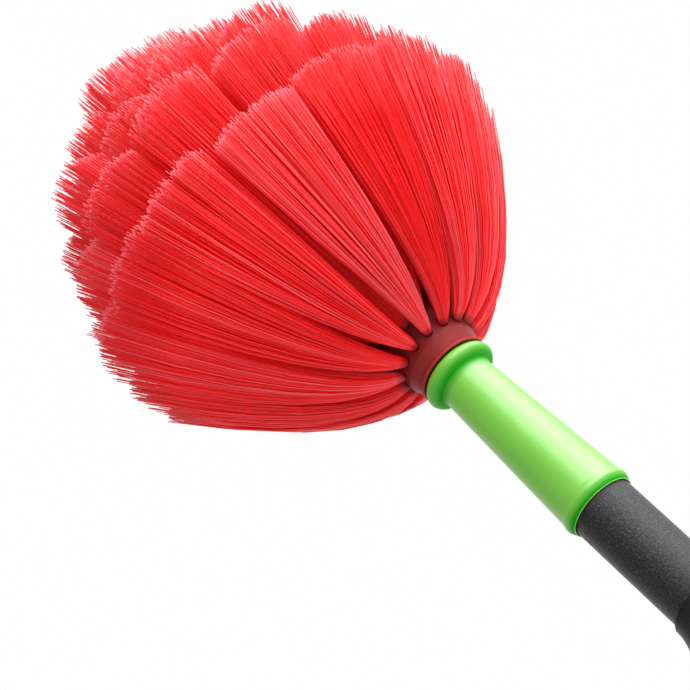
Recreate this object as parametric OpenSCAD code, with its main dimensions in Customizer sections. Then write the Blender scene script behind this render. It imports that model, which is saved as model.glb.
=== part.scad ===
// Cobweb brush: a dome of curved filament tufts on a drilled block, a tapered
// socket, and a two-section pole with a twist lock. The pole's axis is +Z, the
// head is at the top, and the origin is the bottom of the hanging eye.

/* [Pole] */
// Outside diameter of the inner tube
inner_tube_d = 22; // [20:0.5:26]
// Wall of the inner tube
inner_wall = 0.8; // [0.5:0.1:1.5]
// Length of the inner tube
inner_tube_len = 460; // [400:5:465]
// Gap all round between the two tubes
tube_gap = 0.8; // [0.5:0.1:2]
// Wall of the outer tube
outer_wall = 0.7; // [0.5:0.1:1.5]
// Length of the outer tube
outer_tube_len = 470; // [460:5:620]
// Bare inner tube between the twist lock and the socket
bare_len = 43; // [42:1:90]

/* [Twist lock] */
// Length of the collet that is pushed over the outer tube
collet_grip_len = 24; // [20:1:30]
// Length of the collet's knurled foot, below the nut
collet_foot_len = 10; // [6:1:12]
// Wall of the collet round the outer tube
collet_wall = 2; // [1.6:0.1:3]
// Length of the collet above the end of the outer tube
collet_top_len = 22; // [18:1:30]
// Number of fingers cut into the collet
finger_count = 6; // [4:1:8]
// Width of the slots between the fingers
finger_slot = 1.4; // [0.8:0.1:2]
// Wall of the nut at its fluted foot
nut_wall = 2.6; // [2.2:0.1:4]
// How far the fingers stand out of the nut
finger_proud = 1.1; // [0.5:0.1:2]

/* [Socket] */
// Length of the socket
socket_len = 70; // [66:1:80]
// Wall of the socket at its mouth
mouth_wall = 0.85; // [0.8:0.05:1.5]
// How far the lip stands out from the socket
lip_height = 0.45; // [0.2:0.05:1]
// Outside diameter of the socket's neck
neck_d = 19.2; // [18.5:0.1:21]
// Outside diameter of the socket's flange
flange_d = 26.5; // [26:0.1:30]
// Thickness of the socket's flange
flange_t = 4.8; // [4.4:0.1:6]
// Diameter of the threaded tip that the socket screws on
tip_d = 16; // [14:0.5:16]
// Length of the threaded tip
tip_len = 34; // [24:1:38]

/* [Head] */
// Diameter of the block that holds the tufts
block_d = 28.4; // [28:0.2:34]
// Length of the block
block_len = 56; // [54:1:64]
// Height of the first row of tufts above the flange
first_row = 9.5; // [9:0.5:12]
// Spacing of the rows of tufts along the block
row_pitch = 7.5; // [6.8:0.1:7.8]
// Diameter of the holes that the tufts are set in
hole_d = 3.4; // [3:0.1:3.6]
// Depth of the holes
hole_depth = 5.5; // [5:0.1:6]
// Greatest radius of the dome of filament ends
dome_r = 80; // [60:1:95]
// Height of the dome's widest place above the flange
dome_centre = 87; // [75:1:95]
// Height of the dome above its widest place
dome_rise = 83; // [70:1:95]
// Share of its own cell that a tuft fills at its tip
tuft_fill = 0.93; // [0.8:0.01:0.95]
// Diameter of the screw that holds the block on the socket
screw_d = 4; // [3:0.5:4.5]
// Length of the screw under its head
screw_len = 27; // [20:1:30]

/* [Grip and end cap] */
// Length of the grip
grip_len = 120; // [80:5:160]
// Wall of the grip
grip_wall = 2.3; // [2:0.1:5]
// Length of the end cap's plug in the tube
cap_plug_len = 20; // [10:1:22]
// Thickness of the hanging eye
eye_t = 8; // [5:0.5:12]
// Diameter of the hole in the hanging eye
eye_hole_d = 8; // [5:0.5:9]

/* [Hidden] */

$fn = 96;
// clearance of pushed-in plugs, of sliding and turning fits, and between loose faces
push_fit = 0.05;
run_fit = 0.05;
face_gap = 0.1;
// a cutting solid runs this far past the face that it cuts
over = 1;

// tube radii
inner_r = inner_tube_d / 2;
inner_bore_r = inner_r - inner_wall;
outer_bore_r = inner_r + tube_gap;
outer_r = outer_bore_r + outer_wall;

// end cap, from its lowest point up
eye_len = 22;
eye_bottom_r = 10;
cap_collar_len = 6;
cap_bevel = 3;
cap_bevel_z = 1.2;
cap_plug_wall = 2.2;
cap_hollow_drop = 2;
cap_r = outer_r + grip_wall;
tube_foot_z = eye_len + cap_collar_len;

// grip
grip_groove_r = 4;
grip_groove_deep = 0.7;
grip_groove_pitch = 12;
grip_taper_len = 4;

// twist lock, from the top end of the outer tube
tube_top_z = tube_foot_z + outer_tube_len;
collet_foot_z = tube_top_z - collet_grip_len;
collet_thread_r = outer_r + collet_wall;
collet_thread_z = collet_foot_z + collet_foot_len;
collet_seat_t = 4;
finger_z = tube_top_z + collet_seat_t;
finger_nose_r = inner_r + run_fit + 0.45;
finger_root_r = finger_nose_r + 1.5;
finger_nose_len = 4;
finger_bore_r = inner_r + run_fit;
lock_top_z = tube_top_z + collet_top_len;
nut_foot_z = collet_thread_z + 0.4;
nut_top_z = lock_top_z - finger_proud;
nut_r = collet_thread_r + run_fit + nut_wall;
nut_flute_count = 18;
nut_flute_r = 1.5;
nut_straight_len = 15;
nut_edge_t = 0.5;

// socket, from its mouth; a longer inner tube stops on the end cap's plug and
// leaves more of itself bare
shut_gap = 2;
bush_len = 12;
tip_shoulder_t = 2;
mouth_depth = 6;
shut_z = tube_foot_z + cap_plug_len + shut_gap + bush_len;
mouth_z = max(lock_top_z + bare_len,
              shut_z + inner_tube_len + tip_shoulder_t + face_gap - mouth_depth);
mouth_bore_r = inner_r + 0.3;
body_foot_r = mouth_bore_r + mouth_wall;
mouth_edge_r = mouth_bore_r + 0.25;
mouth_edge_len = 0.2;
mouth_cone_len = 2.3;
lip_r = body_foot_r + lip_height;
lip_round = 0.12;
lip_round_len = 0.5;
lip_top = 3.4;
lip_end = 5.4;
socket_top_z = mouth_z + socket_len;
flange_r = flange_d / 2;
flange_round = flange_t / 2;
flange_round_r = flange_r - flange_round;
neck_r = neck_d / 2;
neck_fillet = 2.6;
// the neck's fillet turns so far before it runs on into the flange's rounding
fillet_turn = acos((neck_r + neck_fillet - flange_round_r) / (neck_fillet + flange_round));
fillet_z = socket_top_z - flange_round - (neck_fillet + flange_round) * sin(fillet_turn);
web_t = 4;
seat_depth = 3;
web_z = socket_top_z - seat_depth - web_t;
chamber_r = 6.5;
tip_bore_r = tip_d / 2 + run_fit;
tip_bore_top = mouth_z + mouth_depth + tip_len + 2;

// threaded tip in the end of the inner tube
tip_shoulder_z = mouth_z + mouth_depth - face_gap - tip_shoulder_t;
tip_plug_len = 25;
tip_nose_len = 3;
tip_end_len = 6;
tip_core_r = 4.5;

// inner tube and its guide bush
inner_foot_z = tip_shoulder_z - inner_tube_len;
bush_plug_len = 14;
bush_bore_r = 7;
bush_groove_r = 1.2;

// screw through the socket's web into the block
screw_r = screw_d / 2;
screw_head_r = 2 * screw_r;
screw_head_t = 2.6;
washer_r = screw_head_r + 0.6;
washer_t = 1;
screw_seat_z = web_z - washer_t;
recess_w = 1.1;
recess_deep = 1.4;

// block, from the flange's face
block_r = block_d / 2;
boss_r = 8;
block_full_z = 14;
rim_round = 0.9;
rim_groove = 0.3;

// tufts: number in each ring, and the dome angle from the axis where each ring ends
ring_counts = [14, 14, 14, 12, 10, 8, 4];
ring_angles = [97, 80, 64, 49, 35, 22, 10, 0];
ring_total = len(ring_counts);
lean_first = 8;
lean_last = 90;
curl = 0.27;
// the cutting solid of a hole reaches so far out of the block's round face
hole_over = 3;
root_fit = 0.1;
root_r = hole_d / 2 - root_fit;
anchor_h = 1.6;
anchor_t = 0.35;
root_depth = hole_depth - anchor_h - root_fit;
root_proud = 0.4;
tuft_sides = 8;
tuft_steps = 7;
tip_bulge = 1.5;

// the block's radius at height z above the flange, above its widest place
function block_radius(z) =
    block_r * sqrt(max(0, 1 - pow((z - block_full_z) / (block_len - block_full_z), 2)));

// points in the plane of radius and height above the flange

// where the wall between ring k and the ring below it leaves the block
function wall_foot(k) =
    let (z = k < ring_total ? first_row + (k - 0.5) * row_pitch : block_len)
    [z > block_full_z ? block_radius(z) : block_r, z];

// where that wall meets the dome
function wall_tip(k) =
    [dome_r * sin(ring_angles[k]), dome_centre + dome_rise * cos(ring_angles[k])];

// the handle of the curve from foot to tip
function wall_bend(k) =
    let (lean = lean_first + k * (lean_last - lean_first) / ring_total)
    wall_foot(k) + curl * norm(wall_tip(k) - wall_foot(k)) * [cos(lean), sin(lean)];

function curve(a, b, c, u) = (1 - u) * (1 - u) * a + 2 * u * (1 - u) * b + u * u * c;
function slope(a, b, c, u) = 2 * (1 - u) * (b - a) + 2 * u * (c - b);
function unit(v) = v / norm(v);
function blend(a, b, w) = a + w * (b - a);

function wall_at(k, u) = curve(wall_foot(k), wall_bend(k), wall_tip(k), u);
function wall_slope(k, u) = slope(wall_foot(k), wall_bend(k), wall_tip(k), u);

// a filament of ring k at place a across it, from -1 at the lower wall to 1 at the upper
function strand_at(k, a, u) = blend(wall_at(k, u), wall_at(k + 1, u), (1 + a) / 2);
function strand_way(k, u) = unit(wall_slope(k, u) + wall_slope(k + 1, u));
function half_cell(k, u) = (wall_at(k + 1, u) - wall_at(k, u)) / 2;

// how much sooner the upper filaments end, so that the cut is square to the tuft
function square_cut(k) =
    half_cell(k, 1) * strand_way(k, 1) / norm((wall_slope(k, 1) + wall_slope(k + 1, 1)) / 2);

function root_at(k) = strand_at(k, 0, 0);
function root_way(k) = strand_way(k, 0);
function ring_pitch(k) = 360 / ring_counts[k];
function ring_phase(k) = k % 2 == 0 ? ring_pitch(k) / 2 : 0;

function power(x, q) = sign(x) * pow(abs(x), q);

// one corner of a tuft's section inside its cell, as radius, azimuth and height
function cell_corner(k, u, side) =
    let (
        grown = 1 - pow(1 - u, 2.2),
        deep = norm(half_cell(k, u)),
        wide = root_at(k)[0] * ring_pitch(k) / 2 * PI / 180,
        across = blend(root_r / norm(half_cell(k, 0)), tuft_fill, grown),
        around = blend(root_r / wide, tuft_fill, grown),
        sharp = blend(1, 0.6, grown),
        turn = 360 * side / tuft_sides,
        a = across * power(cos(turn), sharp),
        b = around * power(sin(turn), sharp),
        way = strand_way(k, u),
        flat = strand_at(k, 0, u) + a * deep * [-way[1], way[0]],
        cell = strand_at(k, a, u * (1 - square_cut(k) * (1 + a))),
        w = min(1, u / 0.3),
        p = blend(flat, cell, w * w * (3 - 2 * w))
    )
    [p[0], b * ring_pitch(k) / 2, p[1]];

// one corner of the round root, at a depth below the mouth of its hole
function root_corner(k, depth, side) =
    let (
        turn = 360 * side / tuft_sides,
        way = root_way(k),
        p = root_at(k) - depth * way + root_r * cos(turn) * [-way[1], way[0]]
    )
    [p[0], root_r * sin(turn), p[1]];

function from_azimuth(p) = [p[0] * cos(p[1]), p[0] * sin(p[1]), p[2]];

// turns its child round the pole's axis, with the seam of the surfaces at -X, the
// side away from the photograph
module lathe() {
    rotate([0, 0, 180])
        rotate_extrude()
            children();
}

module tuft(k) {
    steps = [for (i = [1 : tuft_steps]) pow(i / tuft_steps, 1.3)];
    sides = [0 : tuft_sides - 1];
    rings = concat(
        [for (depth = [root_depth, -root_proud]) [for (s = sides) root_corner(k, depth, s)]],
        [for (u = steps) [for (s = sides) from_azimuth(cell_corner(k, u, s))]]
    );
    top = len(rings) - 1;
    tip = strand_at(k, 0, 1 - square_cut(k)) + tip_bulge * strand_way(k, 1);
    points = concat([for (ring = rings) each ring], [[tip[0], 0, tip[1]]]);
    function at(ring, side) = ring * tuft_sides + side % tuft_sides;
    faces = concat(
        [[for (s = sides) at(0, s)]],
        [for (r = [0 : top - 1], s = sides) each [
            [at(r, s + 1), at(r, s), at(r + 1, s)],
            [at(r, s + 1), at(r + 1, s), at(r + 1, s + 1)]
        ]],
        [for (s = sides) [at(top, s + 1), at(top, s), len(points) - 1]]
    );
    polyhedron(points, faces, convexity = 4);
}

// places its child at each tuft of ring k
module round_ring(k) {
    for (j = [0 : ring_counts[k] - 1])
        translate([0, 0, socket_top_z])
            rotate([0, 0, ring_phase(k) + j * ring_pitch(k)])
                children();
}

module tuft_ring(k) {
    color("#e3262c")
        round_ring(k)
            tuft(k);
}

// turns its child's +Z along the hole of ring k, with its origin at the hole's mouth
module in_hole(k) {
    translate([root_at(k)[0], 0, root_at(k)[1]])
        rotate([0, atan2(root_way(k)[0], root_way(k)[1]), 0])
            children();
}

module tuft_holes(k) {
    round_ring(k)
        in_hole(k)
            translate([0, 0, -hole_depth])
                cylinder(r = hole_d / 2, h = hole_depth + hole_over, $fn = 32);
}

// flat wire anchors at the bottom of every hole
module tuft_anchors() {
    color("silver")
        for (k = [0 : ring_total - 1])
            round_ring(k)
                in_hole(k)
                    translate([-anchor_t / 2, -root_r, -hole_depth])
                        cube([anchor_t, 2 * root_r, anchor_h]);
}

module brush_block() {
    dome = [for (i = [0 : 20])
        let (z = blend(block_full_z, block_len, sin(4.5 * i)))
        [block_radius(z), z]];
    rim_r = flange_r - 0.2;
    color("#8e2326")
        difference() {
            translate([0, 0, socket_top_z])
                lathe()
                    polygon(concat(
                        [[0, face_gap - seat_depth], [boss_r - push_fit, face_gap - seat_depth],
                         [boss_r - push_fit, 0], [rim_r - rim_round, 0]],
                        [for (t = [15 : 15 : 165])
                            [rim_r - rim_round + rim_round * sin(t), rim_round - rim_round * cos(t)]],
                        [[rim_r - rim_round - rim_groove, 2 * rim_round],
                         [block_r - 0.5, first_row - hole_d]],
                        dome));
            for (k = [0 : ring_total - 1])
                tuft_holes(k);
            translate([0, 0, socket_top_z - seat_depth])
                cylinder(r = screw_r + push_fit, h = screw_len - web_t, $fn = 32);
        }
}

module head_socket() {
    flange_turn = 90 + fillet_turn;
    color("#62c33c")
        difference() {
            lathe()
                polygon(concat(
                    [[0, mouth_z], [mouth_edge_r, mouth_z],
                     [mouth_edge_r + mouth_edge_len / 2, mouth_z + mouth_edge_len]],
                    [for (t = [0 : 22.5 : 90])
                        [lip_r - lip_round * (1 - sin(t)),
                         mouth_z + mouth_cone_len + lip_round_len * (1 - cos(t))]],
                    [for (i = [0 : 6])
                        [blend(lip_r, body_foot_r, (1 - cos(30 * i)) / 2),
                         mouth_z + blend(lip_top, lip_end, i / 6)]],
                    [for (i = [0 : 8])
                        [neck_r + neck_fillet * (1 - cos(fillet_turn * i / 8)),
                         fillet_z + neck_fillet * sin(fillet_turn * i / 8)]],
                    [for (i = [1 : 16])
                        let (t = 180 - flange_turn * (1 - i / 16))
                        [flange_round_r + flange_round * sin(t),
                         socket_top_z - flange_round * (1 + cos(t))]],
                    [[0, socket_top_z]]));
            translate([0, 0, mouth_z - over])
                cylinder(r = mouth_bore_r, h = mouth_depth + over);
            translate([0, 0, mouth_z])
                cylinder(r = tip_bore_r, h = tip_bore_top - mouth_z);
            translate([0, 0, tip_bore_top - over])
                cylinder(r = chamber_r, h = web_z - tip_bore_top + over);
            translate([0, 0, web_z - over])
                cylinder(r = screw_r + 4 * push_fit, h = web_t + 2 * over, $fn = 32);
            translate([0, 0, socket_top_z - seat_depth])
                cylinder(r = boss_r, h = seat_depth + over);
        }
}

module block_screw() {
    color("silver")
        difference() {
            union() {
                translate([0, 0, screw_seat_z - screw_head_t])
                    lathe()
                        polygon([[0, 0], [screw_head_r - 1.2, 0], [screw_head_r - 0.4, 0.5],
                                 [screw_head_r, 1.4], [screw_head_r, screw_head_t],
                                 [0, screw_head_t]]);
                translate([0, 0, screw_seat_z - over])
                    cylinder(r = screw_r, h = screw_len - screw_d + over, $fn = 32);
                translate([0, 0, screw_seat_z + screw_len - screw_d])
                    cylinder(r1 = screw_r, r2 = 0.4, h = screw_d - washer_t, $fn = 32);
            }
            for (turn = [0, 90])
                translate([0, 0, screw_seat_z - screw_head_t])
                    rotate([0, 0, turn])
                        cube([1.2 * screw_head_r, recess_w, 2 * recess_deep], center = true);
        }
}

module screw_washer() {
    color("silver")
        translate([0, 0, screw_seat_z])
            difference() {
                cylinder(r = washer_r, h = washer_t);
                translate([0, 0, -over])
                    cylinder(r = screw_r + 4 * push_fit, h = washer_t + 2 * over, $fn = 32);
            }
}

module tip_plug() {
    plug_r = inner_bore_r - push_fit;
    tip_r = tip_d / 2;
    color("#2a2a2c")
        translate([0, 0, tip_shoulder_z])
            difference() {
                lathe()
                    polygon([[0, -tip_plug_len], [plug_r - 1, -tip_plug_len],
                             [plug_r, 2 - tip_plug_len], [plug_r, 0], [inner_r, 0],
                             [inner_r, tip_shoulder_t], [tip_r - 1, tip_shoulder_t],
                             [tip_r - 1, tip_shoulder_t + 1.5], [tip_r, tip_shoulder_t + 2.5],
                             [tip_r, tip_shoulder_t + tip_len - tip_nose_len],
                             [tip_r - 1.5, tip_shoulder_t + tip_len],
                             [0, tip_shoulder_t + tip_len]]);
                translate([0, 0, -tip_plug_len - over])
                    cylinder(r = tip_core_r, h = tip_plug_len + over + tip_len - tip_end_len);
            }
}

// a plain tube that stands on z
module pipe(z, length, r, bore) {
    lathe()
        translate([bore, z])
            square([r - bore, length]);
}

module inner_tube() {
    color("#434145")
        pipe(inner_foot_z, inner_tube_len, inner_r, inner_bore_r);
}

module guide_bush() {
    bush_r = outer_bore_r - run_fit;
    color("#e8e6df")
        translate([0, 0, inner_foot_z])
            difference() {
                lathe()
                    polygon([[bush_bore_r, -bush_len], [bush_r - 0.8, -bush_len],
                             [bush_r, 0.8 - bush_len], [bush_r, -0.8], [bush_r - 0.4, 0],
                             [inner_bore_r - push_fit, 0],
                             [inner_bore_r - push_fit, bush_plug_len - 1],
                             [inner_bore_r - 1, bush_plug_len], [bush_bore_r, bush_plug_len]]);
                for (turn = [0 : 90 : 270])
                    rotate([0, 0, turn])
                        translate([bush_r + 0.3, 0, -bush_len - over])
                            cylinder(r = bush_groove_r, h = bush_len + over - 2, $fn = 32);
            }
}

module outer_tube() {
    color("#3c3b3e")
        pipe(tube_foot_z, outer_tube_len, outer_r, outer_bore_r);
}

// the collet is pushed over the outer tube and seats on its end; its slotted
// fingers close on the inner tube when the nut's cone slides over them
module lock_collet() {
    foot_r = nut_r - 0.3;
    color("#1d1d1f")
        difference() {
            lathe()
                polygon([[outer_r + push_fit, collet_foot_z], [foot_r - 1, collet_foot_z],
                         [foot_r, collet_foot_z + 1], [foot_r, collet_thread_z - 0.5],
                         [foot_r - 0.5, collet_thread_z], [collet_thread_r, collet_thread_z],
                         [collet_thread_r, finger_z - 1], [collet_thread_r - 1, finger_z],
                         [finger_root_r, finger_z],
                         [finger_nose_r, lock_top_z - finger_nose_len],
                         [finger_nose_r, lock_top_z - 0.2], [finger_nose_r - 0.15, lock_top_z],
                         [finger_bore_r, lock_top_z], [finger_bore_r, tube_top_z],
                         [outer_r + push_fit, tube_top_z]]);
            for (i = [0 : finger_count - 1])
                rotate([0, 0, (i + 0.5) * 360 / finger_count])
                    translate([0, -finger_slot / 2, finger_z + 1])
                        cube([finger_root_r + over, finger_slot, collet_top_len]);
            for (i = [0 : 23])
                rotate([0, 0, 15 * i])
                    translate([foot_r + 0.5, 0, collet_foot_z - over])
                        cylinder(r = 1, h = collet_foot_len + over, $fn = 24);
        }
}

module lock_nut() {
    nose_r = finger_nose_r + face_gap + nut_edge_t;
    flare_z = nut_foot_z + nut_straight_len;
    flare_len = nut_top_z - flare_z;
    thread_r = collet_thread_r + run_fit;
    color("#17171a")
        difference() {
            lathe()
                polygon(concat(
                    [[thread_r, nut_foot_z], [nut_r - 0.8, nut_foot_z],
                     [nut_r, nut_foot_z + 0.8]],
                    [for (i = [0 : 18])
                        [blend(nut_r, nose_r, (1 - cos(10 * i)) / 2),
                         flare_z + flare_len * i / 18]],
                    [[finger_nose_r + face_gap, nut_top_z],
                     [finger_nose_r + face_gap, lock_top_z - finger_nose_len],
                     [finger_root_r + face_gap, finger_z + 0.3],
                     [thread_r, finger_z + 0.3]]));
            for (i = [0 : nut_flute_count - 1])
                rotate([0, 0, i * 360 / nut_flute_count])
                    translate([nut_r + nut_flute_r - 0.8, 0, nut_foot_z - over])
                        cylinder(r = nut_flute_r, h = nut_straight_len - 1 + over, $fn = 32);
        }
}

module hand_grip() {
    groove_count = floor((grip_len - 8) / grip_groove_pitch);
    first_groove = (grip_len - (groove_count - 1) * grip_groove_pitch) / 2;
    color("#202022")
        translate([0, 0, tube_foot_z])
            difference() {
                lathe()
                    polygon([[outer_r + push_fit, 0], [cap_r, 0],
                             [cap_r, grip_len - grip_taper_len],
                             [cap_r - 0.5, grip_len - grip_taper_len / 2],
                             [outer_r + 0.8, grip_len], [outer_r + push_fit, grip_len]]);
                for (i = [0 : groove_count - 1])
                    translate([0, 0, first_groove + i * grip_groove_pitch])
                        lathe()
                            translate([cap_r + grip_groove_r - grip_groove_deep, 0])
                                circle(r = grip_groove_r, $fn = 32);
            }
}

module end_cap() {
    plug_r = outer_bore_r - push_fit;
    eye_z = eye_bottom_r;
    color("#1b1b1d")
        difference() {
            union() {
                intersection() {
                    union() {
                        translate([0, 0, eye_z])
                            rotate([90, 0, 0])
                                cylinder(r = eye_bottom_r, h = eye_t, center = true);
                        translate([-cap_r, -eye_t / 2, eye_z])
                            cube([2 * cap_r, eye_t, tube_foot_z - eye_z - 1]);
                    }
                    lathe()
                        polygon(concat([[0, 0]],
                            [for (t = [0 : 10 : 90])
                                [eye_bottom_r + (cap_r - eye_bottom_r) * sin(t),
                                 eye_len * (1 - cos(t))]],
                            [[cap_r, tube_foot_z], [0, tube_foot_z]]));
                }
                translate([0, 0, eye_len])
                    lathe()
                        polygon([[0, -cap_bevel], [cap_r - cap_bevel, 1 - cap_bevel],
                                 [cap_r, cap_bevel_z], [cap_r, cap_collar_len],
                                 [plug_r, cap_collar_len],
                                 [plug_r, cap_collar_len + cap_plug_len - 1],
                                 [plug_r - 1, cap_collar_len + cap_plug_len],
                                 [0, cap_collar_len + cap_plug_len]]);
            }
            translate([0, 0, eye_z])
                rotate([90, 0, 0])
                    cylinder(r = eye_hole_d / 2, h = eye_t + 2 * over, center = true);
            translate([0, 0, tube_foot_z - cap_hollow_drop])
                cylinder(r = plug_r - cap_plug_wall, h = cap_plug_len + cap_hollow_drop + over);
        }
}

module tuft_ring_1() tuft_ring(0);
module tuft_ring_2() tuft_ring(1);
module tuft_ring_3() tuft_ring(2);
module tuft_ring_4() tuft_ring(3);
module tuft_ring_5() tuft_ring(4);
module tuft_ring_6() tuft_ring(5);
module crown_tufts() tuft_ring(6);

brush_block();
tuft_ring_1();
tuft_ring_2();
tuft_ring_3();
tuft_ring_4();
tuft_ring_5();
tuft_ring_6();
crown_tufts();
tuft_anchors();
head_socket();
block_screw();
screw_washer();
tip_plug();
inner_tube();
guide_bush();
outer_tube();
lock_collet();
lock_nut();
hand_grip();
end_cap();
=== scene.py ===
"""Dresses the packed cobweb brush: filament tufts, finishes, floor, light and camera."""
import math

import bpy
import numpy as np
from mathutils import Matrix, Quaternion, Vector


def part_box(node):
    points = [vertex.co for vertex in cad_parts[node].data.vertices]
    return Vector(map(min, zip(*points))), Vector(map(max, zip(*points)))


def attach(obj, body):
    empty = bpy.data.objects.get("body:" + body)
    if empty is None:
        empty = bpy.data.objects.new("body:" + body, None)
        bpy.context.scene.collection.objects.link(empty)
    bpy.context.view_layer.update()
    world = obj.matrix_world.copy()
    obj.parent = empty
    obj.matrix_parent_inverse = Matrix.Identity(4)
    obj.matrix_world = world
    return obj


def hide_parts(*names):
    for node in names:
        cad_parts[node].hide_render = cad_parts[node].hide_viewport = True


bl_info = {
    "name": "Cobweb brush",
    "version": (1, 0, 0),
    "blender": (4, 5, 0),
    "location": "View3D > Sidebar > Brush",
    "description": "Filament tufts, finishes and a stage for a telescopic cobweb brush",
    "category": "Add Mesh",
}

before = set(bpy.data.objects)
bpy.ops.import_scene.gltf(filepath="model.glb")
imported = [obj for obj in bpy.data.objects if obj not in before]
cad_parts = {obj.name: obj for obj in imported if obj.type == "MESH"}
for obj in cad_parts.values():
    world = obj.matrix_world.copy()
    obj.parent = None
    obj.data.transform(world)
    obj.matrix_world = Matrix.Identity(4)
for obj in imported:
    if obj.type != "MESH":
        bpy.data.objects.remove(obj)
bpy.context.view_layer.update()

# heights and sizes of the parts that the head is grown from, in metres
FLANGE_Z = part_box("head_socket")[1].z
MOUTH_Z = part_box("head_socket")[0].z
BLOCK_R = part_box("brush_block")[1].x
BLOCK_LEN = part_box("brush_block")[1].z - FLANGE_Z

# rings of tufts from the flange up: the CAD node, the number of tufts in it, and
# how much longer its tufts are cut towards +Y and towards -Y, in metres
RINGS = (
    ("tuft_ring_1", 14, 0.000, 0.004),
    ("tuft_ring_2", 14, -0.005, 0.000),
    ("tuft_ring_3", 14, -0.009, 0.000),
    ("tuft_ring_4", 12, -0.012, -0.001),
    ("tuft_ring_5", 10, -0.010, 0.000),
    ("tuft_ring_6", 8, -0.008, 0.000),
    ("crown_tufts", 4, -0.004, 0.000),
)
# angles on the dome between which the rings end, in degrees from the pole's axis
RING_ANGLES = (97, 80, 64, 49, 35, 22, 10, 0)

# steps of a sequence that fills a square evenly, and how far its places are shaken
EVEN_STEPS = (0.7548776662, 0.5698402910)
SHAKE = 0.35
# how strongly filaments crowd towards the sides of their tuft, and the least distance
# from its middle that counts for that
CROWDING = 0.3
LEAST_EDGE = 0.01
# powers by which these grow from a filament's root to its end
SECTION_POWER = 1.2
OPENING_POWER = 2.2
STRAND_POWER = 4
LEAN_POWER = 1.5
# power by which a tuft's filaments get shorter from its middle to its sides
ROUND_POWER = 3
# how much further than the others a stray filament wanders
STRAY_REACH = 3.2
# least and greatest angle that a filament waves through, in radians
WAVE_TURN = (1.5, 4.5)
# share of its length over which a tuft passes from round to the shape of its cell
ROUND_SHARE = 0.3
# how deep filaments stand in their hole, as a share of their first section
HOLE_SHARE = 0.25
# middle of the filaments' tones, and how far single ones and whole tufts differ
MIDDLE_TONE = 0.5
FILAMENT_TONE = 0.16
TUFT_TONE = 0.15
# sides of a filament
SIDES = 3

# places of the lights from the socket's flange, and their sizes, in metres
KEY_PLACE = (0.85, 0.85, 0.30)
KEY_SIZE = 1.3
RIM_PLACE = (0.05, 1.05, 0.66)
RIM_SIZE = 1.2
# how far the floor lies below the hanging eye, in metres, and the shares of its size
# between which it fades
FLOOR_GAP = 0.0005
FLOOR_FADE = (0.08, 0.25)
# levels of the surroundings as they are seen: white, and the dark side of reflections
WHITE = 0.99
DARK_SIDE = 0.25
# their levels as a light, from -Y and from +Y, as shares of the sky's level
DIM_SHARE = 0.65
BRIGHT_SHARE = 1.15


def length(name, description, default):
    """A size in metres that the panel can change."""
    return bpy.props.FloatProperty(
        name=name, description=description, default=default, min=0, unit="LENGTH", precision=5
    )


def share(name, description, default):
    """A number from 0 to 1 that the panel can change."""
    return bpy.props.FloatProperty(
        name=name, description=description, default=default, min=0, max=1, subtype="FACTOR"
    )


def angle(name, description, degrees):
    """An angle that the panel can change."""
    return bpy.props.FloatProperty(
        name=name, description=description, default=math.radians(degrees), subtype="ANGLE"
    )


def colour(name, description, default):
    """A linear colour that the panel can change."""
    return bpy.props.FloatVectorProperty(
        name=name, description=description, default=default, min=0, max=1, size=3, subtype="COLOR"
    )


class BrushHeadSizes(bpy.types.PropertyGroup):
    """Sizes of the dome of filaments."""

    dome_radius: length("Dome radius", "Greatest radius of the filament ends", 0.080)
    dome_centre: length("Dome centre", "Height of the widest place above the flange", 0.087)
    dome_rise: length("Dome rise", "Height of the dome above its widest place", 0.085)
    first_row: length("First row", "Height of the first row of holes above the flange", 0.0095)
    row_pitch: length("Row pitch", "Spacing of the rows of holes along the block", 0.0075)
    block_full: length("Block's widest height", "Where the block starts to narrow", 0.014)
    root_radius: length("Root radius", "Radius of a tuft where it leaves its hole", 0.0015)
    curl: share("Curl", "Length of the curve's handle as a share of the filament", 0.27)
    first_lean: angle("First lean", "Rise of the lowest filaments where they leave the block", 8)
    last_lean: angle("Last lean", "Rise of the topmost filaments", 90)
    fill: share("Fill", "Share of its cell that a tuft fills at its end", 0.93)


class FilamentSettings(bpy.types.PropertyGroup):
    """The filaments that make up a tuft."""

    count: bpy.props.IntProperty(
        name="Count", description="Filament ends in one tuft", default=260, min=10, max=400
    )
    steps: bpy.props.IntProperty(
        name="Steps", description="Sections along a filament", default=8, min=6, max=40
    )
    thickness: length("Thickness", "Diameter of a filament", 0.00038)
    wave: length("Wave", "How far a filament's end wanders from its place", 0.0007)
    clumps: bpy.props.IntProperty(
        name="Clumps", description="Strands that a tuft's end parts into", default=26, min=1, max=60
    )
    clump_pull: share("Clump pull", "How far filaments lean towards their strand", 0.03)
    clump_step: length("Clump step", "How far the ends of the strands are stepped", 0.0010)
    cut_step: length("Cut step", "How far single filaments differ in length", 0.0004)
    squareness: share("Squareness", "How square a tuft is cut, from the dome's curve to flat", 0.95)
    round_off: length("Round off", "How much shorter a tuft's sides are than its middle", 0.0014)
    round_growth: share("Round growth", "How much that shortening grows with each ring up", 0.8)
    tuft_step: length("Tuft step", "How far whole tufts differ in length", 0.0026)
    tuft_lean: length("Tuft lean", "How far a tuft's end stands aside from its cell", 0.0012)
    stray: share("Stray", "Share of filaments that stand out of their tuft", 0.02)
    seed: bpy.props.IntProperty(name="Seed", description="Start of the random numbers", default=30)


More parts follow.
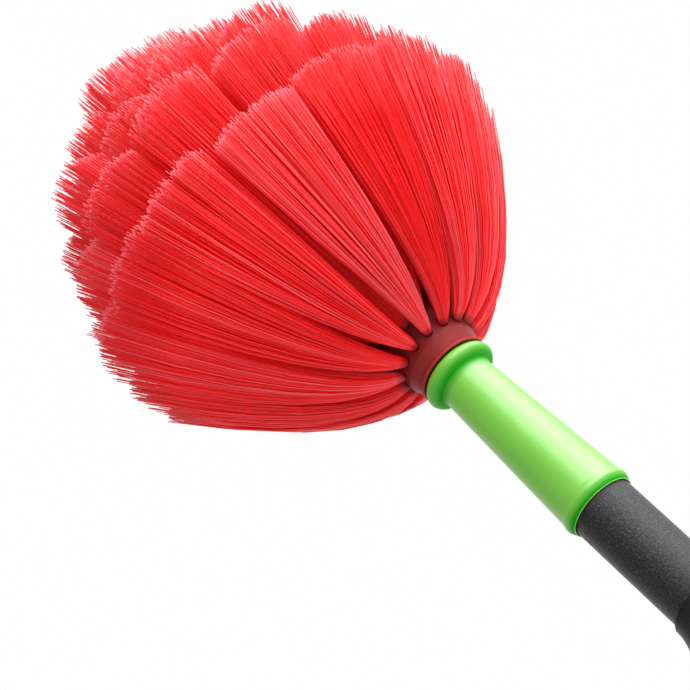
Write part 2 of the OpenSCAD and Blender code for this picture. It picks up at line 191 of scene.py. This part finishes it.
class BrushColours(bpy.types.PropertyGroup):
    """Colours of the brush, linear."""

    filament: colour("Filament", "Filaments along their length", (1.0, 0.003, 0.006))
    # painted shade at the filaments' roots, and also the colour of the random deeper filaments
    filament_deep_and_root_shade: colour("Filament root", "Filaments at the block", (0.20, 0.003, 0.004))
    # painted light: the paler highlight filaments, the paler outer half and the pale cut ends
    filament_painted_light: colour("Filament tip", "Cut ends of the filaments", (1.0, 0.20, 0.24))
    block: colour("Block", "Moulded block", (0.27, 0.010, 0.010))
    # painted highlight on the block's bead
    block_bead_highlight: colour("Block's bead", "Bead at the foot of the block", (0.42, 0.025, 0.022))
    socket: colour("Socket", "Moulded socket", (0.175, 0.60, 0.028))
    # painted shade in the socket's fillet and mouth
    socket_hollow_shade: colour("Socket's hollows", "Fillet and mouth of the socket", (0.004, 0.28, 0.001))
    tube: colour("Tubes", "Powder coating of the tubes", (0.013, 0.012, 0.014))
    lock: colour("Twist lock", "Black plastic of the lock and the end cap", (0.012, 0.012, 0.013))
    grip: colour("Grip", "Rubber of the grip", (0.018, 0.018, 0.020))
    steel: colour("Steel", "Screw, washer and anchors", (0.62, 0.62, 0.63))
    bush: colour("Bush", "White plastic of the guide bush", (0.80, 0.79, 0.75))


class StageSettings(bpy.types.PropertyGroup):
    """Floor, light and camera."""

    camera_distance: length("Camera distance", "From the pole's axis, level with it", 0.5953)
    camera_height: length("Camera height", "Above the floor", FLANGE_Z - 0.3245)
    aim_ahead: length("Aim ahead", "Aim point's distance from the axis, to the camera", 0.0058)
    aim_side: length("Aim side", "Aim point's distance from the axis, to the right", 0.0183)
    aim_height: length("Aim height", "Aim point above the flange", 0.0336)
    roll: angle("Roll", "Turn of the camera about its line of sight", 46.3)
    focal_length: bpy.props.FloatProperty(
        name="Focal length",
        description="For a picture 36 mm wide",
        default=109.6,
        unit="CAMERA",
    )
    key_power: bpy.props.FloatProperty(
        name="Key light",
        description="Broad soft light beside the camera",
        default=12.0,
        unit="POWER",
    )
    rim_power: bpy.props.FloatProperty(
        name="Rim light", description="Soft light from the far side", default=12.0, unit="POWER"
    )
    sky: share("Sky", "Level of the white surroundings as a light", 0.76)
    floor_size: length("Floor size", "Side of the floor", 12.0)


class Wired:
    """The output of a node that takes part in plain arithmetic."""

    def __init__(self, tree, socket):
        self.tree = tree
        self.socket = socket

    def math(self, operation, *values):
        """A Math node over these values, with its Clamp off."""
        node = self.tree.nodes.new("ShaderNodeMath")
        node.operation = operation
        for place, value in enumerate(values):
            plug(self.tree, node.inputs[place], value)
        return Wired(self.tree, node.outputs[0])

    def __add__(self, other):
        return self.math("ADD", self, other)

    def __radd__(self, other):
        return self.math("ADD", other, self)

    def __sub__(self, other):
        return self.math("SUBTRACT", self, other)

    def __rsub__(self, other):
        return self.math("SUBTRACT", other, self)

    def __mul__(self, other):
        return self.math("MULTIPLY", self, other)

    def __rmul__(self, other):
        return self.math("MULTIPLY", other, self)

    def __truediv__(self, other):
        return self.math("DIVIDE", self, other)

    def between(self, low, high):
        """0 below low, 1 above high, and straight between them."""
        value = (self - low) / (high - low)
        return value.math("MINIMUM", value.math("MAXIMUM", value, 0), 1)


def plug(tree, socket, value):
    """Links a wired value to a socket, or sets the socket to a plain one."""
    if isinstance(value, Wired):
        tree.links.new(value.socket, socket)
    elif socket.type == "RGBA" and len(value) == 3:
        socket.default_value = (*value, 1)
    else:
        socket.default_value = value


class Nodes:
    """The nodes of a material or a world while they are being laid."""

    def __init__(self, tree):
        self.tree = tree

    def node(self, kind, settings=None, sockets=None, out=0):
        """A node with its settings and sockets filled in, as one of its outputs."""
        node = self.tree.nodes.new("ShaderNode" + kind)
        for name, value in (settings or {}).items():
            setattr(node, name, value)
        for name, value in (sockets or {}).items():
            plug(self.tree, node.inputs[name], value)
        return Wired(self.tree, node.outputs[out])

    def part_of(self, vector, axis):
        """One of a vector's three numbers, by its letter."""
        return self.node("SeparateXYZ", sockets={"Vector": vector}, out=axis)


class Finish(Nodes):
    """A material for one of the brush's surfaces."""

    def __init__(self, name, **surface):
        self.material = bpy.data.materials.new(name)
        self.material.use_nodes = True
        super().__init__(self.material.node_tree)
        self.surface = self.tree.nodes["Principled BSDF"]
        self.give(**surface)

    def give(self, **surface):
        """Sets or links sockets of the surface, named like Base_Color."""
        for name, value in surface.items():
            plug(self.tree, self.surface.inputs[name.replace("_", " ")], value)

    def place(self):
        """Coordinates fixed to the piece, in metres."""
        return self.node("TexCoord", out="Object")

    def noise(self, per_metre, detail=2, rough=0.5):
        """Smooth random numbers about 0.5, with so many features to a metre."""
        sockets = {"Scale": per_metre, "Detail": detail, "Roughness": rough}
        return self.node("TexNoise", sockets={"Vector": self.place(), **sockets})

    def mix(self, factor, first, second):
        """A colour between two colours."""
        settings = {"data_type": "RGBA", "clamp_factor": True}
        sockets = {"Factor": factor, 6: first, 7: second}
        return self.node("Mix", settings, sockets, out=2)

    def bump(self, height, depth, strength=1.0):
        """A surface that rises with height by up to depth, in metres."""
        return self.node(
            "Bump", sockets={"Height": height, "Distance": depth, "Strength": strength}
        )


def scaled(rgb, factor):
    """A colour made lighter or darker."""
    return tuple(min(1, channel * factor) for channel in rgb)


def dress(finish, *names):
    """Gives CAD nodes their finish."""
    for name in names:
        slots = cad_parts[name].data.materials
        slots.clear()
        slots.append(finish.material)


class Dome:
    """The walls between the rings of tufts, as curves in the plane of radius and height."""

    def __init__(self, sizes):
        self.sizes = sizes

    def foot(self, wall):
        """Where a wall leaves the block."""
        s = self.sizes
        height = s.first_row + (wall - 0.5) * s.row_pitch if wall < len(RINGS) else BLOCK_LEN
        past = max(0, height - s.block_full) / (BLOCK_LEN - s.block_full)
        return np.array([BLOCK_R * math.sqrt(max(0, 1 - past**2)), height])

    def tip(self, wall):
        """Where a wall meets the dome of filament ends."""
        s = self.sizes
        turn = math.radians(RING_ANGLES[wall])
        height = s.dome_centre + s.dome_rise * math.cos(turn)
        return np.array([s.dome_radius * math.sin(turn), height])

    def bend(self, wall):
        """The handle of a wall's curve."""
        s = self.sizes
        lean = s.first_lean + wall * (s.last_lean - s.first_lean) / len(RINGS)
        reach = s.curl * np.linalg.norm(self.tip(wall) - self.foot(wall))
        return self.foot(wall) + reach * np.array([math.cos(lean), math.sin(lean)])

    def wall_at(self, wall, along):
        """Points on a wall, for an array of shares of its length."""
        u = along[..., None]
        foot, bend, tip = self.foot(wall), self.bend(wall), self.tip(wall)
        return (1 - u) ** 2 * foot + 2 * u * (1 - u) * bend + u**2 * tip

    def slope_at(self, wall, along):
        """How fast a wall runs on at those shares."""
        u = along[..., None]
        foot, bend, tip = self.foot(wall), self.bend(wall), self.tip(wall)
        return 2 * (1 - u) * (bend - foot) + 2 * u * (tip - bend)

    def strand_at(self, ring, across, along):
        """Points in a ring, from its lower wall at across -1 to its upper one at 1."""
        share_up = (1 + across[..., None]) / 2
        low, high = self.wall_at(ring, along), self.wall_at(ring + 1, along)
        return low + share_up * (high - low)

    def way_at(self, ring, along):
        """The direction that the middle of a ring runs in."""
        return unit(self.slope_at(ring, along) + self.slope_at(ring + 1, along))

    def half_depth(self, ring, along):
        """Half of a ring's thickness between its walls."""
        thickness = self.wall_at(ring + 1, along) - self.wall_at(ring, along)
        return np.linalg.norm(thickness, axis=-1) / 2

    def square_cut(self, ring):
        """How much sooner the upper filaments of a ring end than the middle ones."""
        end = np.array([1.0])
        half = (self.wall_at(ring + 1, end) - self.wall_at(ring, end))[0] / 2
        slope = (self.slope_at(ring, end) + self.slope_at(ring + 1, end))[0] / 2
        return float(half @ self.way_at(ring, end)[0] / np.linalg.norm(slope))


def unit(vectors):
    """Vectors of length 1 in the same directions."""
    return vectors / np.linalg.norm(vectors, axis=-1, keepdims=True)


def spread_evenly(count, random):
    """Random places in the square from -1 to 1, none of them close together."""
    steps = np.arange(count)[:, None] * np.array(EVEN_STEPS)
    shaken = random.normal(0, SHAKE / math.sqrt(count), (count, 2))
    return np.clip(((steps + random.random(2)) % 1) * 2 - 1 + shaken, -1, 1)


def crowd_outward(seats):
    """Places in the square moved towards its sides, where filaments are seen."""
    edge = np.max(np.abs(seats), axis=1, keepdims=True)
    return seats / np.maximum(edge, LEAST_EDGE) ** CROWDING


def disc_from_square(x, y):
    """Places in the square from -1 to 1 moved into the circle inside it."""
    return x * np.sqrt(1 - y**2 / 2), y * np.sqrt(1 - x**2 / 2)


def uneven_length(ring, azimuth):
    """How much longer than its cell a tuft is cut, by the side of the head it is on."""
    *_, plus_y, minus_y = RINGS[ring]
    side = math.sin(azimuth)
    return plus_y * max(0, side) + minus_y * max(0, -side)


def tuft_paths(dome, ring, middle, pitch, filaments, random):
    """Centre lines of one tuft's filaments, and the tone of each, from 0 to 1."""
    sizes = dome.sizes
    longer = uneven_length(ring, middle) + filaments.tuft_step * random.uniform(-1, 1)
    lean = np.append(random.normal(0, filaments.tuft_lean, 2), 0)
    seats = crowd_outward(spread_evenly(filaments.count, random))
    centres = spread_evenly(filaments.clumps, random)
    nearest = np.argmin(np.linalg.norm(seats[:, None] - centres[None], axis=2), axis=1)

    # how far along its cell each section of a filament stands, 1 being the dome
    reach = np.linalg.norm(dome.tip(ring) - dome.foot(ring))
    strands = random.uniform(-filaments.clump_step, 0, filaments.clumps)[nearest]
    single = random.normal(0, filaments.cut_step, filaments.count)
    round_off = filaments.round_off * (1 + filaments.round_growth * ring)
    rounded = -round_off * np.abs(seats[:, 1]) ** ROUND_POWER
    ends = 1 + (longer + strands + single + rounded) / reach
    along = np.linspace(0, 1, filaments.steps) ** SECTION_POWER * ends[:, None]

    # how it opens out, closes up with its strand and waves
    grown = 1 - (1 - np.clip(along, 0, 1)) ** OPENING_POWER
    pull = filaments.clump_pull * along[..., None] ** STRAND_POWER
    pulled = seats[:, None] + (centres[nearest] - seats)[:, None] * pull
    stray = np.where(random.random(filaments.count) < filaments.stray, STRAY_REACH, 1.0)
    wander = filaments.wave * stray[:, None] * along**2
    turn = random.uniform(0, 2 * math.pi, (filaments.count, 2))
    swing = np.sin(turn[:, :1] + along * random.uniform(*WAVE_TURN, (filaments.count, 1)))
    sway = np.sin(turn[:, 1:] + along * random.uniform(*WAVE_TURN, (filaments.count, 1)))

    # where it stands in its cell, from a disc at the root to the whole cell at the end
    root = dome.strand_at(ring, np.zeros(1), np.zeros(1))[0]
    root_depth = dome.half_depth(ring, np.zeros(1))[0]
    root_width = root[0] * pitch / 2
    x, y = pulled[..., 0], pulled[..., 1]
    disc_x, disc_y = disc_from_square(x, y)
    wide = sizes.fill * grown
    across = (1 - grown) * disc_x * sizes.root_radius / root_depth + wide * x
    around = (1 - grown) * disc_y * sizes.root_radius / root_width + wide * y

    # its run in the plane of radius and height
    way = dome.way_at(ring, along)
    normal = np.stack([-way[..., 1], way[..., 0]], axis=-1)
    offset = (across * dome.half_depth(ring, along))[..., None] * normal
    flat = dome.strand_at(ring, np.zeros_like(along), along) + offset
    cut = filaments.squareness * dome.square_cut(ring)
    in_cell = dome.strand_at(ring, across, along * (1 - cut * (1 + across)))
    ease = np.clip(along / ROUND_SHARE, 0, 1)
    ease = (ease**2 * (3 - 2 * ease))[..., None]
    plane = flat + ease * (in_cell - flat) + (wander * swing)[..., None] * normal

    # its run in space
    azimuth = middle + around * pitch / 2
    radius, height = plane[..., 0], plane[..., 1] + FLANGE_Z
    side = np.stack([-np.sin(azimuth), np.cos(azimuth), np.zeros_like(azimuth)], axis=-1)
    paths = np.stack([radius * np.cos(azimuth), radius * np.sin(azimuth), height], axis=-1)
    paths += (wander * sway)[..., None] * side
    paths += along[..., None] ** LEAN_POWER * lean
    in_hole = paths[:, :1] - (paths[:, 1:2] - paths[:, :1]) * HOLE_SHARE

    tone = random.normal(MIDDLE_TONE, FILAMENT_TONE, filaments.count)
    tone = np.clip(tone + random.normal(0, TUFT_TONE), 0, 1)
    return np.concatenate([in_hole, paths], axis=1), side[:, :1], tone


def ring_paths(dome, ring, filaments):
    """Centre lines, sideways directions and tones of a whole ring's filaments.

    Every second ring starts half a tuft further round.
    """
    _, count, *_ = RINGS[ring]
    pitch = 2 * math.pi / count
    first = pitch / 2 if ring % 2 == 0 else 0
    tufts = []
    for tuft in range(count):
        random = np.random.default_rng((filaments.seed, ring, tuft))
        tufts.append(tuft_paths(dome, ring, first + tuft * pitch, pitch, filaments, random))
    return [np.concatenate(group) for group in zip(*tufts)]


def filament_mesh(name, paths, side, tone, thickness):
    """A mesh of thin prisms along the centre lines, closed at both ends."""
    strands, steps, _ = paths.shape
    run = unit(np.gradient(paths, axis=1))
    side = unit(side - np.sum(side * run, axis=-1, keepdims=True) * run)
    rise = np.cross(run, side)
    along = np.linspace(0, 1, steps)
    radius = thickness / 2
    corners = []
    for corner in range(SIDES):
        turn = 2 * math.pi * corner / SIDES
        corners.append(paths + radius * (math.cos(turn) * side + math.sin(turn) * rise))
    points = np.stack(corners, axis=2).reshape(-1, 3)

    first = (np.arange(strands) * steps * SIDES)[:, None, None]
    level = (np.arange(steps - 1) * SIDES)[None, :, None]
    corner = np.arange(SIDES)[None, None, :]
    low = first + level + corner
    low_next = first + level + (corner + 1) % SIDES
    quads = np.stack([low, low_next, low_next + SIDES, low + SIDES], axis=-1).reshape(-1, 4)
    start = first[:, 0] + np.arange(SIDES)[None, ::-1]
    end = first[:, 0] + (steps - 1) * SIDES + np.arange(SIDES)[None]
    caps = np.concatenate([start, end])
    order = np.concatenate([quads.ravel(), caps.ravel()])
    quad_starts = np.arange(len(quads)) * 4
    cap_starts = quads.size + np.arange(len(caps)) * SIDES

    mesh = bpy.data.meshes.new(name)
    mesh.vertices.add(len(points))
    mesh.vertices.foreach_set("co", points.astype(np.float32).ravel())
    mesh.loops.add(len(order))
    mesh.loops.foreach_set("vertex_index", order.astype(np.int32))
    mesh.polygons.add(len(quads) + len(caps))
    starts = np.concatenate([quad_starts, cap_starts])
    mesh.polygons.foreach_set("loop_start", starts.astype(np.int32))
    mesh.update(calc_edges=True)
    mesh.validate()
    mesh.shade_smooth()
    add_numbers(mesh, "tone", np.repeat(tone, steps * SIDES))
    add_numbers(mesh, "along", np.tile(np.repeat(along, SIDES), strands))
    return mesh


def add_numbers(mesh, name, values):
    """One number for each vertex of a mesh, which its material can read."""
    layer = mesh.attributes.new(name, "FLOAT", "POINT")
    layer.data.foreach_set("value", values.astype(np.float32))


def filament_finish(colours):
    """Red filament, with deeper filaments at random and paler ones that are painted highlights;
    painted shade at the root, painted pale light towards and at the cut end, and a painted glow.
    """
    finish = Finish(
        "filament_red",
        Roughness=0.3,
        IOR=1.49,
        Specular_IOR_Level=0.5,
        Emission_Strength=0.14,
    )
    tone = finish.node("Attribute", {"attribute_name": "tone"}, out="Fac")
    along = finish.node("Attribute", {"attribute_name": "along"}, out="Fac")
    deep = (MIDDLE_TONE - tone).between(0, MIDDLE_TONE) * 0.38
    # painted highlights: paler filaments here and there, picked at random by tone
    pale = tone.between(0.72, 0.82) * 0.45
    # painted light: paler towards the end, and pale at the cut end
    outer = along.between(0.6, 1.0) * 0.1
    cut_end = along.between(0.993, 0.997) * 0.8
    body = finish.mix(deep, colours.filament, colours.filament_deep_and_root_shade)
    body = finish.mix(pale, body, colours.filament_painted_light)
    body = finish.mix(outer, body, colours.filament_painted_light)
    body = finish.mix(cut_end, body, colours.filament_painted_light)
    # painted shade: the filaments darken towards the block over the first part of their length
    body = finish.mix(along.between(0.12, 0.19), colours.filament_deep_and_root_shade, body)

    # painted glow: emission stands in for light that passes through the filaments, stronger in
    # their outer half
    painted_glow = finish.mix(along.between(0.12, 0.25) * 0.2, (0, 0, 0), colours.filament)
    painted_glow = finish.mix(along.between(0.5, 1.0) * 0.8, painted_glow, colours.filament)
    finish.give(Base_Color=body, Emission_Color=painted_glow)
    return finish


def block_finish(colours):
    """Dark red moulded plastic with a soft grain, painted shade towards the tufts, a painted
    highlight on the bead and a painted shadow at the foot.
    """
    finish = Finish("block_red", IOR=1.49, Specular_IOR_Level=0.32)
    height = finish.part_of(finish.place(), "Z") - FLANGE_Z
    # painted shade: darker towards the tufts, from 2 mm to 8 mm above the flange
    upper = height.between(0.002, 0.008)
    # painted highlight: the bead at the foot is brighter
    bead = 1 - height.between(0.0014, 0.0024)
    # painted shadow: the lowest part of the foot is nearly black, standing in for the gap at the
    # flange in shade
    foot = 1 - height.between(0.0001, 0.0004)
    mottle = finish.noise(90, 3)
    body = finish.mix(mottle, scaled(colours.block, 0.75), scaled(colours.block, 1.3))
    body = finish.mix(upper, body, scaled(colours.block, 0.7))
    body = finish.mix(bead * 0.6, body, colours.block_bead_highlight)
    finish.give(
        Base_Color=finish.mix(foot, body, scaled(colours.block, 0.1)),
        Roughness=0.36 + mottle * 0.14,
        Normal=finish.bump(finish.noise(1600), 0.00004),
    )
    return finish


def socket_finish(colours):
    """Green moulded plastic with a broad gloss, and painted shade, darker and more saturated with
    less gloss, in the fillet and at the mouth.
    """
    finish = Finish(
        "socket_green",
        IOR=1.49,
        Specular_IOR_Level=0.04,
        Coat_IOR=2.1,
        Coat_Roughness=0.38,
    )
    height = finish.part_of(finish.place(), "Z")
    below_flange = FLANGE_Z - height
    in_mouth = height - MOUTH_Z
    # painted shade: the fillet under the flange and the mouth's rounded end take a darker, more
    # saturated green and lose their coat
    fillet = below_flange.between(0.0018, 0.0052) * (1 - below_flange.between(0.0056, 0.0086))
    cone = in_mouth.between(0.0001, 0.0002) * (1 - in_mouth.between(0.0008, 0.0034))
    deep = fillet + cone
    mottle = finish.noise(60, 3)
    body = finish.mix(mottle, scaled(colours.socket, 0.94), scaled(colours.socket, 1.06))
    finish.give(
        Base_Color=finish.mix(deep, body, colours.socket_hollow_shade),
        Roughness=0.46 + mottle * 0.1,
        Coat_Weight=1 - deep * 0.94,
        Normal=finish.bump(finish.noise(900), 0.00003),
    )
    return finish


def tube_finish(colours):
    """Textured powder coating with a fine light and dark grain."""
    finish = Finish("tube_coating", IOR=1.5, Specular_IOR_Level=0.52)
    grain = finish.noise(1500, 3, 0.8)
    cloud = finish.noise(420)
    raised = grain.between(0.4, 0.6)
    body = finish.mix(raised, scaled(colours.tube, 0.3), scaled(colours.tube, 1.6))
    body = finish.mix(grain.between(0.58, 0.66) * cloud, body, scaled(colours.tube, 8))
    finish.give(
        Base_Color=body,
        Roughness=0.42 - raised * 0.14,
        Normal=finish.bump(grain, 0.0004, 0.8),
    )
    return finish


def lock_finish(colours):
    """Black moulded plastic with a fine grain."""
    finish = Finish("lock_black", IOR=1.49, Specular_IOR_Level=0.25)
    mottle = finish.noise(120, 3)
    finish.give(
        Base_Color=finish.mix(mottle, scaled(colours.lock, 0.8), scaled(colours.lock, 1.5)),
        Roughness=0.36 + mottle * 0.14,
        Normal=finish.bump(finish.noise(2200), 0.00004),
    )
    return finish


def grip_finish(colours):
    """Matt rubber with a fine stipple."""
    finish = Finish("grip_rubber", IOR=1.5)
    mottle = finish.noise(70, 4)
    stipple = finish.node("TexVoronoi", sockets={"Vector": finish.place(), "Scale": 1200})
    finish.give(
        Base_Color=finish.mix(mottle, scaled(colours.grip, 0.8), scaled(colours.grip, 1.7)),
        Roughness=0.62 + mottle * 0.2,
        Normal=finish.bump(stipple, 0.00008, 0.7),
    )
    return finish


def steel_finish(colours):
    """Bright zinc-plated steel with drawn lines."""
    finish = Finish("bright_steel", Metallic=1.0)
    lines = finish.noise(2500, 3)
    finish.give(
        Base_Color=finish.mix(lines, scaled(colours.steel, 0.8), scaled(colours.steel, 1.1)),
        Roughness=0.24 + lines * 0.18,
    )
    return finish


def bush_finish(colours):
    """White moulded plastic."""
    finish = Finish("bush_white", IOR=1.49)
    mottle = finish.noise(200, 3)
    finish.give(
        Base_Color=finish.mix(mottle, scaled(colours.bush, 0.92), colours.bush),
        Roughness=0.4 + mottle * 0.12,
    )
    return finish


class BRUSH_OT_stage(bpy.types.Operator):
    """Lay the pale floor, hang the soft lights and set the camera."""

    bl_idname = "brush.stage"
    bl_label = "Stage"

    def execute(self, context):
        stage = context.scene.brush_stage
        lay_floor(stage.floor_size)
        light_surroundings(context.scene, stage.sky)
        hang_light("key_light", KEY_PLACE, KEY_SIZE, stage.key_power)
        hang_light("rim_light", RIM_PLACE, RIM_SIZE, stage.rim_power)
        set_camera(context.scene, stage)
        context.scene.view_settings.view_transform = "Standard"
        return {"FINISHED"}


def lay_floor(size):
    """A pale floor just under the hanging eye, which fades into the white far off."""
    half = size / 2
    corners = [(-half, -half, 0), (half, -half, 0), (half, half, 0), (-half, half, 0)]
    mesh = bpy.data.meshes.new("floor")
    mesh.from_pydata(corners, [], [(0, 1, 2, 3)])
    floor = bpy.data.objects.new("floor", mesh)
    floor.location.z = -FLOOR_GAP
    bpy.context.collection.objects.link(floor)
    finish = Finish("floor_pale", Roughness=0.9)
    sockets = {"Vector": finish.place()}
    far = finish.node("VectorMath", {"operation": "LENGTH"}, sockets, out="Value")
    finish.give(
        Base_Color=finish.mix(finish.noise(3), (0.92, 0.92, 0.92), (0.95, 0.95, 0.95)),
        Alpha=1 - (far / size).between(*FLOOR_FADE),
    )
    mesh.materials.append(finish.material)


def light_surroundings(scene, level):
    """White surroundings that light the brush more from +Y than from -Y.

    The camera sees them white all round. Gloss sees them white behind the brush and
    towards +Y, and darker towards -Y, as beside a soft light in a studio.
    """
    world = bpy.data.worlds.new("surroundings")
    world.use_nodes = True
    scene.world = world
    background = world.node_tree.nodes["Background"]
    background.inputs["Color"].default_value = (1, 1, 1, 1)
    nodes = Nodes(world.node_tree)
    direction = nodes.node("TexCoord", out="Generated")
    ahead = nodes.part_of(direction, "X")
    side = nodes.part_of(direction, "Y")
    seen = nodes.node("LightPath", out="Is Camera Ray")
    mirrored = nodes.node("LightPath", out="Is Glossy Ray")
    passed = nodes.node("LightPath", out="Is Transmission Ray")

    light = level * (DIM_SHARE + side.between(-0.8, 0.9) * (BRIGHT_SHARE - DIM_SHARE))
    behind = 1 - ahead.between(-0.8, -0.1)
    open_side = behind.math("MAXIMUM", behind, side.between(-0.35, 0.5))
    reflected = DARK_SIDE + open_side * (WHITE - DARK_SIDE)
    strength = light + mirrored.math("MAXIMUM", mirrored, passed) * (reflected - light)
    strength = strength + seen * (WHITE - strength)
    plug(world.node_tree, background.inputs["Strength"], strength)


def hang_light(name, place, size, power):
    """A square soft light, at a place measured from the socket's flange, facing it."""
    lamp = bpy.data.lights.new(name, "AREA")
    lamp.size = size
    lamp.energy = power
    light = bpy.data.objects.new(name, lamp)
    light.location = Vector(place) + Vector((0, 0, FLANGE_Z))
    light.rotation_mode = "QUATERNION"
    light.rotation_quaternion = (-Vector(place)).to_track_quat("-Z", "Y")
    bpy.context.collection.objects.link(light)


def set_camera(scene, stage):
    """A long lens that looks up the pole from below the head, turned about its sight."""
    camera = bpy.data.objects.new("camera", bpy.data.cameras.new("camera"))
    camera.data.lens = stage.focal_length
    camera.data.clip_start = 0.01
    camera.location = (stage.camera_distance, 0, stage.camera_height)
    aim = Vector((stage.aim_ahead, -stage.aim_side, FLANGE_Z + stage.aim_height))
    camera.rotation_mode = "QUATERNION"
    level = (aim - camera.location).to_track_quat("-Z", "Y")
    camera.rotation_quaternion = level @ Quaternion((0, 0, 1), -stage.roll)
    scene.collection.objects.link(camera)
    scene.camera = camera


class BRUSH_OT_tufts(bpy.types.Operator):
    """Grow the filaments of every ring of tufts."""

    bl_idname = "brush.tufts"
    bl_label = "Tufts"

    def execute(self, context):
        filaments = context.scene.brush_filaments
        dome = Dome(context.scene.brush_head)
        finish = filament_finish(context.scene.brush_colours)
        for ring, (node, *_) in enumerate(RINGS):
            paths, side, tone = ring_paths(dome, ring, filaments)
            mesh = filament_mesh(node + "_filaments", paths, side, tone, filaments.thickness)
            mesh.materials.append(finish.material)
            piece = bpy.data.objects.new(mesh.name, mesh)
            context.scene.collection.objects.link(piece)
            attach(piece, "head")
            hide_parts(node)
        return {"FINISHED"}


class BRUSH_OT_block(bpy.types.Operator):
    """Finish the block and the steel that holds it."""

    bl_idname = "brush.block"
    bl_label = "Block"

    def execute(self, context):
        colours = context.scene.brush_colours
        dress(block_finish(colours), "brush_block")
        dress(steel_finish(colours), "tuft_anchors", "block_screw", "screw_washer")
        return {"FINISHED"}


class BRUSH_OT_socket(bpy.types.Operator):
    """Finish the green socket."""

    bl_idname = "brush.socket"
    bl_label = "Socket"

    def execute(self, context):
        dress(socket_finish(context.scene.brush_colours), "head_socket")
        return {"FINISHED"}


class BRUSH_OT_tubes(bpy.types.Operator):
    """Finish the two tubes and the bush between them."""

    bl_idname = "brush.tubes"
    bl_label = "Tubes"

    def execute(self, context):
        colours = context.scene.brush_colours
        dress(tube_finish(colours), "inner_tube", "outer_tube")
        dress(bush_finish(colours), "guide_bush")
        return {"FINISHED"}


class BRUSH_OT_twist_lock(bpy.types.Operator):
    """Finish the black plastic of the twist lock, the tip plug and the end cap."""

    bl_idname = "brush.twist_lock"
    bl_label = "Twist lock and end cap"

    def execute(self, context):
        finish = lock_finish(context.scene.brush_colours)
        dress(finish, "lock_collet", "lock_nut", "tip_plug", "end_cap")
        return {"FINISHED"}


class BRUSH_OT_grip(bpy.types.Operator):
    """Finish the rubber grip."""

    bl_idname = "brush.grip"
    bl_label = "Grip"

    def execute(self, context):
        dress(grip_finish(context.scene.brush_colours), "hand_grip")
        return {"FINISHED"}


class BRUSH_PT_panel(bpy.types.Panel):
    """The brush's sizes, colours and steps."""

    bl_idname = "BRUSH_PT_panel"
    bl_label = "Cobweb brush"
    bl_space_type = "VIEW_3D"
    bl_region_type = "UI"
    bl_category = "Brush"

    def draw(self, context):
        for name, group in SETTINGS.items():
            box = self.layout.box()
            box.label(text=group.__doc__)
            for size in group.__annotations__:
                box.prop(getattr(context.scene, name), size)
        for operator in OPERATORS:
            self.layout.operator(operator.bl_idname)


SETTINGS = {
    "brush_head": BrushHeadSizes,
    "brush_filaments": FilamentSettings,
    "brush_colours": BrushColours,
    "brush_stage": StageSettings,
}
OPERATORS = (
    BRUSH_OT_stage,
    BRUSH_OT_tufts,
    BRUSH_OT_block,
    BRUSH_OT_socket,
    BRUSH_OT_tubes,
    BRUSH_OT_twist_lock,
    BRUSH_OT_grip,
)


def register():
    """Adds the settings, the operators and the panel to Blender."""
    for group in SETTINGS.values():
        bpy.utils.register_class(group)
    for operator in OPERATORS:
        bpy.utils.register_class(operator)
    bpy.utils.register_class(BRUSH_PT_panel)
    for name, group in SETTINGS.items():
        setattr(bpy.types.Scene, name, bpy.props.PointerProperty(type=group))


def unregister():
    """Takes them out again."""
    for name in SETTINGS:
        delattr(bpy.types.Scene, name)
    bpy.utils.unregister_class(BRUSH_PT_panel)
    for operator in reversed(OPERATORS):
        bpy.utils.unregister_class(operator)
    for group in reversed(SETTINGS.values()):
        bpy.utils.unregister_class(group)


def main():
    """Builds the whole scene."""
    register()
    bpy.ops.brush.stage()
    bpy.ops.brush.tufts()
    bpy.ops.brush.block()
    bpy.ops.brush.socket()
    bpy.ops.brush.tubes()
    bpy.ops.brush.twist_lock()
    bpy.ops.brush.grip()


if __name__ == "__main__":
    main()
